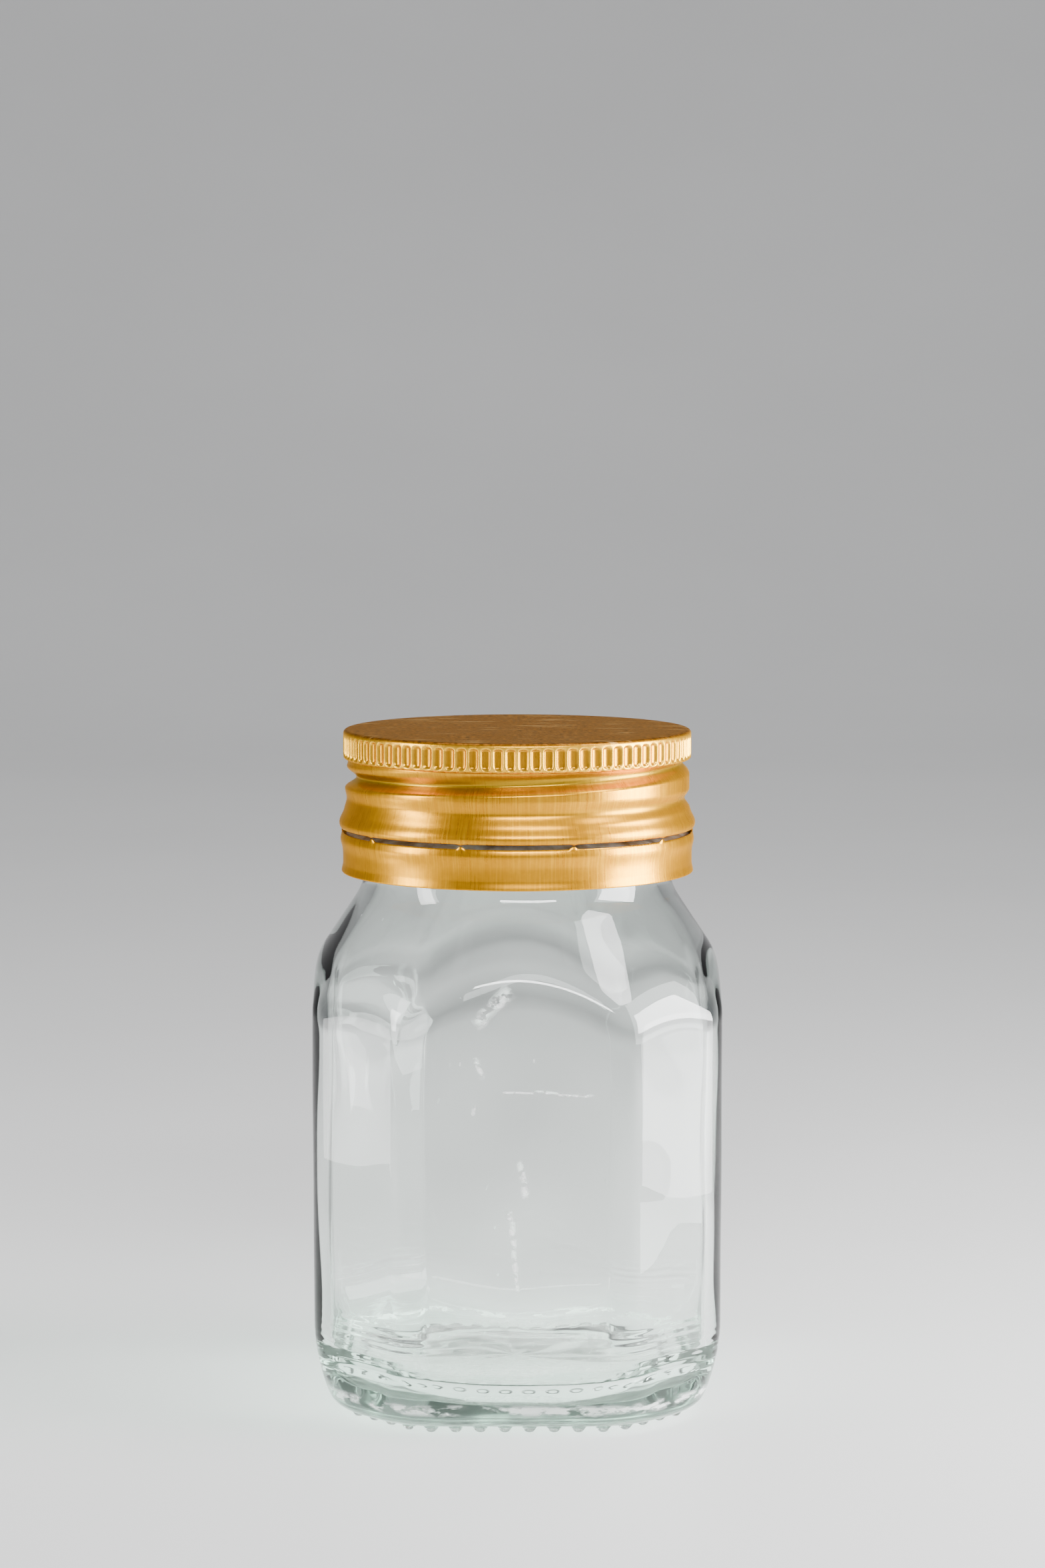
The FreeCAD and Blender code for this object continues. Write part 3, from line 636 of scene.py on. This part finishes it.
class Nodes:
    """A short way to build one material's node tree."""

    def __init__(self, name):
        self.material = bpy.data.materials.new(name)
        self.material.use_nodes = True
        self.tree = self.material.node_tree
        self.shader = self.tree.nodes["Principled BSDF"]
        self.place = self.add("ShaderNodeTexCoord").outputs["Object"]

    def add(self, kind, **settings):
        node = self.tree.nodes.new(kind)
        for key, value in settings.items():
            setattr(node, key, value)
        return node

    def link(self, source, target):
        self.tree.links.new(source, target)

    def fill(self, socket, value):
        if isinstance(value, bpy.types.NodeSocket):
            self.link(value, socket)
        else:
            socket.default_value = value

    def noise(self, scale, detail=4.0, stretch=None, rough=0.55):
        node = self.add("ShaderNodeTexNoise")
        node.inputs["Scale"].default_value = scale
        node.inputs["Detail"].default_value = detail
        node.inputs["Roughness"].default_value = rough
        place = self.place
        if stretch:
            place = self.stretched(stretch)
        self.link(place, node.inputs["Vector"])
        return node.outputs["Fac"]

    def stretched(self, scale):
        mapping = self.add("ShaderNodeMapping")
        mapping.inputs["Scale"].default_value = scale
        self.link(self.place, mapping.inputs["Vector"])
        return mapping.outputs["Vector"]

    def ramp(self, value, stops):
        """A ramp from (position, colour) stops; a colour may be one grey number."""
        node = self.add("ShaderNodeValToRGB")
        ramp = node.color_ramp
        while len(ramp.elements) < len(stops):
            ramp.elements.new(0.5)
        for element, (position, colour) in zip(ramp.elements, stops):
            element.position = position
            grey = isinstance(colour, (int, float))
            element.color = (colour, colour, colour, 1) if grey else (*colour, 1)
        self.link(value, node.inputs["Fac"])
        return node.outputs["Color"]

    def maths(self, how, a, b=0.0, clamp=False):
        node = self.add("ShaderNodeMath", operation=how, use_clamp=clamp)
        self.fill(node.inputs[0], a)
        self.fill(node.inputs[1], b)
        return node.outputs[0]

    def spread(self, value, low, high):
        """Takes a 0 to 1 value to the range low to high."""
        node = self.add("ShaderNodeMapRange")
        self.link(value, node.inputs["Value"])
        node.inputs["To Min"].default_value = low
        node.inputs["To Max"].default_value = high
        return node.outputs["Result"]

    def spread_from(self, value, start, end):
        """0 below start, 1 above end."""
        node = self.add("ShaderNodeMapRange")
        self.link(value, node.inputs["Value"])
        node.inputs["From Min"].default_value = start
        node.inputs["From Max"].default_value = end
        return node.outputs["Result"]

    def band(self, value, low, high):
        """1 from low to high. Each is a pair in millimetres: 0 at its first, 1 at its second."""
        return self.maths("MULTIPLY",
                          self.spread_from(value, low[0] * MM, low[1] * MM),
                          self.spread_from(value, high[0] * MM, high[1] * MM))

    def mix(self, share, a, b):
        """a at a share of 0 and b at a share of 1."""
        node = self.add("ShaderNodeMix", data_type="RGBA")
        self.fill(node.inputs["Factor"], share)
        for socket, value in ((node.inputs[6], a), (node.inputs[7], b)):
            if isinstance(value, tuple):
                value = (*value, 1)
            self.fill(socket, value)
        return node.outputs[2]

    def bump(self, height, distance, strength=1.0):
        node = self.add("ShaderNodeBump")
        node.inputs["Strength"].default_value = strength
        node.inputs["Distance"].default_value = distance
        self.link(height, node.inputs["Height"])
        self.link(node.outputs["Normal"], self.shader.inputs["Normal"])

    def let_lamps_through(self, tint):
        """Lamps light what is behind the glass, so that its shadow stays pale."""
        clear = self.add("ShaderNodeBsdfTransparent")
        clear.inputs["Color"].default_value = (*tint, 1)
        share = self.add("ShaderNodeMixShader")
        self.link(self.add("ShaderNodeLightPath").outputs["Is Shadow Ray"], share.inputs[0])
        self.link(self.shader.outputs[0], share.inputs[1])
        self.link(clear.outputs[0], share.inputs[2])
        self.link(share.outputs[0], self.tree.nodes["Material Output"].inputs["Surface"])

    def absorb(self, colour, density):
        volume = self.add("ShaderNodeVolumeAbsorption")
        volume.inputs["Color"].default_value = (*colour, 1)
        volume.inputs["Density"].default_value = density
        self.link(volume.outputs[0], self.tree.nodes["Material Output"].inputs["Volume"])

    def set(self, **values):
        for name, value in values.items():
            self.fill(self.shader.inputs[name.replace("_", " ")], value)


def around(nodes):
    """The angle round the jar's axis in radians, the distance from it, and the height."""
    split = nodes.add("ShaderNodeSeparateXYZ")
    nodes.link(nodes.place, split.inputs[0])
    x, y, height = split.outputs["X"], split.outputs["Y"], split.outputs["Z"]
    square = nodes.maths("ADD", nodes.maths("MULTIPLY", x, x), nodes.maths("MULTIPLY", y, y))
    return nodes.maths("ARCTAN2", x, y), nodes.maths("SQRT", square), height


def gold_lacquer():
    """Satin gold lacquer on rolled aluminium: fine upright striations, grainy and scratched,
    with painted shade in the groove, the flutes and on the flat top, and painted highlights on
    the knurl's ribs.
    """
    nodes = Nodes("gold_lacquer")
    patches = nodes.noise(90.0, 5.0)
    grain = nodes.noise(1500.0, 4.0)
    angle, radius, height = around(nodes)
    # striations: noise that is much finer round the cap than up it
    strip = nodes.add("ShaderNodeCombineXYZ")
    nodes.link(nodes.maths("MULTIPLY", angle, 90.0), strip.inputs["X"])
    nodes.link(nodes.maths("MULTIPLY", height, 120.0), strip.inputs["Y"])
    lines = nodes.add("ShaderNodeTexNoise")
    lines.inputs["Scale"].default_value = 1.0
    lines.inputs["Detail"].default_value = 5.0
    nodes.link(strip.outputs[0], lines.inputs["Vector"])
    striation = lines.outputs["Fac"]
    colour = nodes.ramp(patches, [(0.3, (0.56, 0.235, 0.002)), (0.7, (0.68, 0.30, 0.003))])
    colour = nodes.mix(nodes.ramp(grain, [(0.35, 0.0), (0.75, 0.3)]), colour,
                       (0.42, 0.165, 0.001))
    colour = nodes.mix(nodes.ramp(striation, [(0.45, 0.0), (0.7, 0.45)]), colour,
                       (0.90, 0.47, 0.01))
    # painted shade: wherever the cap lies well inside the skirt's full radius, as in the pressed
    # groove, it is painted darker and browner
    groove = nodes.spread_from(radius, (SKIRT_RADIUS - 0.35) * MM, (SKIRT_RADIUS - 1.3) * MM)
    colour = nodes.mix(nodes.maths("MULTIPLY", groove, 0.85), colour, (0.34, 0.205, 0.008))
    # painted highlight and painted shade: the knurl's ribs are painted pale cream and its flutes
    # dark
    knurl = nodes.band(height, (KNURL_BOTTOM + 0.1, KNURL_BOTTOM + 0.6),
                       (TOP_Z - 0.3, TOP_Z - 0.7))
    rib = nodes.spread_from(radius, (KNURL_RADIUS - 0.34) * MM, (KNURL_RADIUS - 0.08) * MM)
    rib_highlight_flute_shade = nodes.mix(rib, (0.46, 0.21, 0.010), (1.0, 0.60, 0.05))
    colour = nodes.mix(nodes.maths("MULTIPLY", knurl, 0.55), colour, rib_highlight_flute_shade)
    # painted shade: the flat top is painted dark brown and speckled, with pale scratches of wear
    disc = nodes.spread_from(height, (TOP_Z - 0.5) * MM, (TOP_Z - 0.1) * MM)
    speckle = nodes.ramp(nodes.noise(1300.0, 5.0, rough=0.7), [(0.42, 0.0), (0.58, 1.0)])
    top_shade_and_scratches = nodes.mix(speckle, (0.09, 0.028, 0.006), (0.30, 0.11, 0.018))
    scratch = nodes.ramp(nodes.noise(360.0, 7.0, stretch=(0.3, 2.2, 1.0)),
                         [(0.60, 0.0), (0.67, 0.7)])
    top_shade_and_scratches = nodes.mix(scratch, top_shade_and_scratches, (0.66, 0.40, 0.17))
    nodes.set(Base_Color=nodes.mix(disc, colour, top_shade_and_scratches), Metallic=0.85)
    nodes.shader.inputs["Specular Tint"].default_value = (1.0, 0.7, 0.2, 1)
    rough = nodes.spread(nodes.maths("ADD", nodes.maths("MULTIPLY", patches, 0.5),
                                     nodes.maths("MULTIPLY", striation, 0.5)), 0.20, 0.38)
    nodes.set(Roughness=nodes.maths("ADD", rough, nodes.maths("MULTIPLY", disc, 0.12)))
    height_map = nodes.maths("ADD", nodes.maths("MULTIPLY", grain, 0.5),
                             nodes.maths("MULTIPLY", striation, 0.55))
    nodes.bump(height_map, 0.00006, 0.3)
    return nodes.material


def wear_line(nodes, split, start, end, width):
    """1 along a worn line on the front panel, given by (x, z) ends in millimetres."""
    run = [(end[i] - start[i]) * MM for i in (0, 1)]
    length = math.hypot(*run)
    unit = [part / length for part in run]
    from_x = nodes.maths("SUBTRACT", split.outputs["X"], start[0] * MM)
    from_z = nodes.maths("SUBTRACT", split.outputs["Z"], start[1] * MM)
    along = nodes.maths("ADD", nodes.maths("MULTIPLY", from_x, unit[0]),
                        nodes.maths("MULTIPLY", from_z, unit[1]))
    aside = nodes.maths("SUBTRACT", nodes.maths("MULTIPLY", from_x, unit[1]),
                        nodes.maths("MULTIPLY", from_z, unit[0]))
    wander = nodes.spread(nodes.noise(90.0, 2.0), -0.001, 0.001)
    aside = nodes.maths("ABSOLUTE", nodes.maths("ADD", aside, wander))
    near = nodes.spread_from(aside, width * MM, 0.0)
    on = nodes.maths("MULTIPLY", nodes.spread_from(along, 0.0, 0.001),
                     nodes.spread_from(along, length, length - 0.001))
    front = nodes.spread_from(split.outputs["Y"], (6.9 - PANEL_APOTHEM) * MM,
                              (1.9 - PANEL_APOTHEM) * MM)
    return nodes.maths("MULTIPLY", nodes.maths("MULTIPLY", near, on), front)


def glass():
    """Clear flint glass with a faint green cast, dashed scuffs and a little dust."""
    nodes = Nodes("jar_glass_clear")
    split = nodes.add("ShaderNodeSeparateXYZ")
    nodes.link(nodes.place, split.inputs[0])
    dashes = nodes.ramp(nodes.noise(900.0, 3.0, stretch=(0.6, 0.6, 1.0)),
                        [(0.47, 0.0), (0.56, 1.0)])
    worn = 0.0
    for start, end, width in WEAR_LINES:
        worn = nodes.maths("ADD", worn, wear_line(nodes, split, start, end, width), clamp=True)
    worn = nodes.maths("MULTIPLY", worn, dashes)
    specks = nodes.ramp(nodes.noise(700.0, 6.0, stretch=(1.0, 1.0, 0.4)),
                        [(0.70, 0.0), (0.76, 1.0)])
    patches = nodes.ramp(nodes.noise(38.0, 3.0), [(0.5, 0.0), (0.66, 0.8)])
    marks = nodes.maths("ADD", worn, nodes.maths("MULTIPLY", specks, patches), clamp=True)
    radius = nodes.maths("POWER", nodes.maths("ADD",
                         nodes.maths("POWER", split.outputs["X"], 2.0),
                         nodes.maths("POWER", split.outputs["Y"], 2.0)), 0.5)
    # the heel is scuffed where jars rub together, and hazy below that
    on_heel = nodes.spread_from(radius, (NUB_ROW_RADIUS + 0.2) * MM, (NUB_ROW_RADIUS + 0.9) * MM)
    scuff = nodes.band(split.outputs["Z"], (NUB_HEIGHT + 2.0, NUB_HEIGHT + 2.8),
                       (NUB_HEIGHT + 4.2, NUB_HEIGHT + 3.4))
    scuff = nodes.maths("MULTIPLY", nodes.maths("MULTIPLY", scuff, on_heel),
                        nodes.ramp(nodes.noise(330.0, 6.0, stretch=(1.0, 1.0, 2.4)),
                                   [(0.46, 0.0), (0.58, 0.85)]))
    marks = nodes.maths("ADD", marks, scuff, clamp=True)
    heel_haze = nodes.maths("MULTIPLY", on_heel,
                            nodes.spread_from(split.outputs["Z"], (NUB_HEIGHT + 6.5) * MM,
                                              (NUB_HEIGHT + 2.5) * MM))
    # dust lies on the inner floor
    on_floor = nodes.maths("MULTIPLY",
                           nodes.band(split.outputs["Z"], (FLOOR_Z - 0.1, FLOOR_Z),
                                      (FLOOR_Z + 2.3, FLOOR_Z + 1.3)),
                           nodes.spread_from(radius, (FLOOR_RIM + 5.7) * MM,
                                             (FLOOR_RIM + 3.0) * MM))
    dust = nodes.maths("MULTIPLY", on_floor,
                       nodes.ramp(nodes.noise(500.0, 7.0, rough=0.75),
                                  [(0.35, 0.06), (0.7, 0.5)]))
    # painted shade: the glass of the locking bead is painted dark brown, rough and opaque, so
    # the slit between cap and ring looks dark
    bead = nodes.band(split.outputs["Z"], (BEAD_Z - 1.6, BEAD_Z - 0.6),
                      (BEAD_Z + 2.6, BEAD_Z + 1.8))
    outer = nodes.spread_from(radius, (BORE_RADIUS + 0.4) * MM, (BORE_RADIUS + 0.8) * MM)
    slit_shade = nodes.maths("MULTIPLY", nodes.maths("MULTIPLY", bead, outer),
                      nodes.ramp(nodes.noise(400.0, 5.0), [(0.3, 0.8), (0.7, 1.0)]))
    haze = nodes.ramp(nodes.noise(60.0, 5.0), [(0.4, 0.0), (0.8, 1.0)])
    colour = nodes.mix(marks, (0.965, 0.985, 0.975), (0.97, 0.97, 0.96))
    colour = nodes.mix(dust, colour, (0.30, 0.27, 0.23))
    nodes.set(Base_Color=nodes.mix(slit_shade, colour, (0.15, 0.065, 0.012)))
    rough = nodes.maths("ADD", nodes.maths("MULTIPLY", haze, 0.02),
                        nodes.maths("MULTIPLY", marks, 0.35))
    rough = nodes.maths("ADD", rough, nodes.maths("MULTIPLY", slit_shade, 0.5))
    nodes.set(Roughness=nodes.maths("ADD", rough, nodes.maths("MULTIPLY", heel_haze, 0.09)))
    clear = nodes.maths("SUBTRACT", 1.0, nodes.maths("MULTIPLY", marks, 0.75))
    clear = nodes.maths("SUBTRACT", clear, slit_shade, clamp=True)
    nodes.set(Transmission_Weight=nodes.maths("SUBTRACT", clear, dust, clamp=True))
    nodes.set(IOR=1.5)
    nodes.bump(nodes.noise(150.0, 3.0), 0.0001, 0.06)
    nodes.let_lamps_through((0.86, 0.9, 0.88))
    nodes.absorb((0.5, 0.88, 0.7), 16.0)
    return nodes.material


def liner_foam():
    """Closed-cell polyethylene foam: off-white, matt, with fine cells."""
    nodes = Nodes("liner_foam")
    cells = nodes.add("ShaderNodeTexVoronoi")
    cells.inputs["Scale"].default_value = 1500.0
    nodes.link(nodes.place, cells.inputs["Vector"])
    patches = nodes.noise(200.0, 4.0)
    nodes.set(Base_Color=nodes.ramp(patches, [(0.3, (0.74, 0.73, 0.69)),
                                              (0.7, (0.86, 0.85, 0.81))]))
    nodes.set(Roughness=nodes.spread(patches, 0.5, 0.7), Subsurface_Weight=0.15)
    nodes.bump(cells.outputs["Distance"], 0.00012, 0.6)
    return nodes.material


def floor_material():
    nodes = Nodes("studio_floor")
    nodes.set(Base_Color=nodes.ramp(nodes.noise(3.0, 4.0), [(0.3, (0.60, 0.60, 0.60)),
                                                           (0.7, (0.64, 0.64, 0.64))]))
    nodes.set(Roughness=nodes.spread(nodes.noise(30.0, 4.0), 0.5, 0.65))
    return nodes.material


# ---- studio -------------------------------------------------------------------------

def studio_floor():
    """A plain floor that curves up into a backdrop far behind the jar."""
    reach = 6.0
    back = 2.2
    bend = 1.2
    profile = [(-reach, 0.0), (back - bend, 0.0)]
    for i in range(1, 25):
        angle = math.pi / 2 * i / 24
        profile.append((back - bend + bend * math.sin(angle), bend * (1 - math.cos(angle))))
    profile.append((back, 6.0))
    vertices = [(x, y, z) for y, z in profile for x in (-reach, reach)]
    faces = [(2 * i, 2 * i + 1, 2 * i + 3, 2 * i + 2) for i in range(len(profile) - 1)]
    mesh = bpy.data.meshes.new("studio_floor")
    mesh.from_pydata(vertices, [], faces)
    mesh.shade_smooth()
    floor = bpy.data.objects.new("studio_floor", mesh)
    bpy.context.scene.collection.objects.link(floor)
    mesh.materials.append(floor_material())


def softbox(name, place, aim, width, height, watts):
    data = bpy.data.lights.new(name, "AREA")
    data.shape = "RECTANGLE"
    data.size = width
    data.size_y = height
    data.energy = watts
    light = bpy.data.objects.new(name, data)
    bpy.context.scene.collection.objects.link(light)
    light.location = place
    towards = Vector(aim) - Vector(place)
    light.rotation_euler = towards.to_track_quat("-Z", "Y").to_euler()
    light.visible_camera = False


def lights():
    middle = (0, 0, 0.07)
    softbox("right_low", (0.34, -0.06, 0.13), middle, 0.20, 0.22, 5.0)
    softbox("right_high", (0.70, -0.20, 0.95), middle, 0.35, 0.25, 6.0)
    softbox("front_strip", (0.15, -1.00, 0.66), middle, 0.80, 0.09, 12.0)
    softbox("left_side", (-0.50, -0.16, 0.20), middle, 0.12, 0.34, 3.0)
    softbox("right_facet", (0.18, -0.018, 0.036), (0, -0.018, 0.036), 0.045, 0.066, 0.10)
    softbox("left_facet", (-0.18, -0.02, 0.03), (0, -0.02, 0.03), 0.03, 0.04, 0.025)
    softbox("overhead", (0, 0.1, 1.8), (0, 0.1, 0), 2.0, 2.0, 5.0)
    softbox("backdrop", (0, 0.5, 1.9), (0, 1.0, 0.2), 1.6, 0.8, 15.0)
    world = bpy.data.worlds.new("studio_world")
    world.use_nodes = True
    background = world.node_tree.nodes["Background"]
    background.inputs["Color"].default_value = (0.93, 0.95, 1.0, 1)
    background.inputs["Strength"].default_value = 0.22
    bpy.context.scene.world = world


def camera():
    """The viewpoint: 600 mm in front of the axis and a little above the cap."""
    distance = 0.6
    pitch = math.radians(5.782)
    rise_per_distance = 0.087
    height = TOP_Z * MM + rise_per_distance * distance
    data = bpy.data.cameras.new("photo_camera")
    data.sensor_width = 36.0
    data.lens = 90.44
    data.shift_x = 0.0034
    data.clip_start = 0.01
    view = bpy.data.objects.new("photo_camera", data)
    bpy.context.scene.collection.objects.link(view)
    view.location = (0, -distance, height)
    view.rotation_euler = (math.pi / 2 - pitch, 0, 0)
    bpy.context.scene.camera = view


# ---- assembly -----------------------------------------------------------------------

def dress(piece, material, body, node):
    piece.data.materials.append(material)
    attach(piece, body)
    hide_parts(node)


gold = gold_lacquer()
dress(glass_jar(), glass(), "jar", "glass_jar")
dress(screw_cap(), gold, "cap", "screw_cap")
dress(tamper_ring(), gold, "ring", "tamper_ring")
dress(liner(), liner_foam(), "liner", "liner")
studio_floor()
lights()
camera()
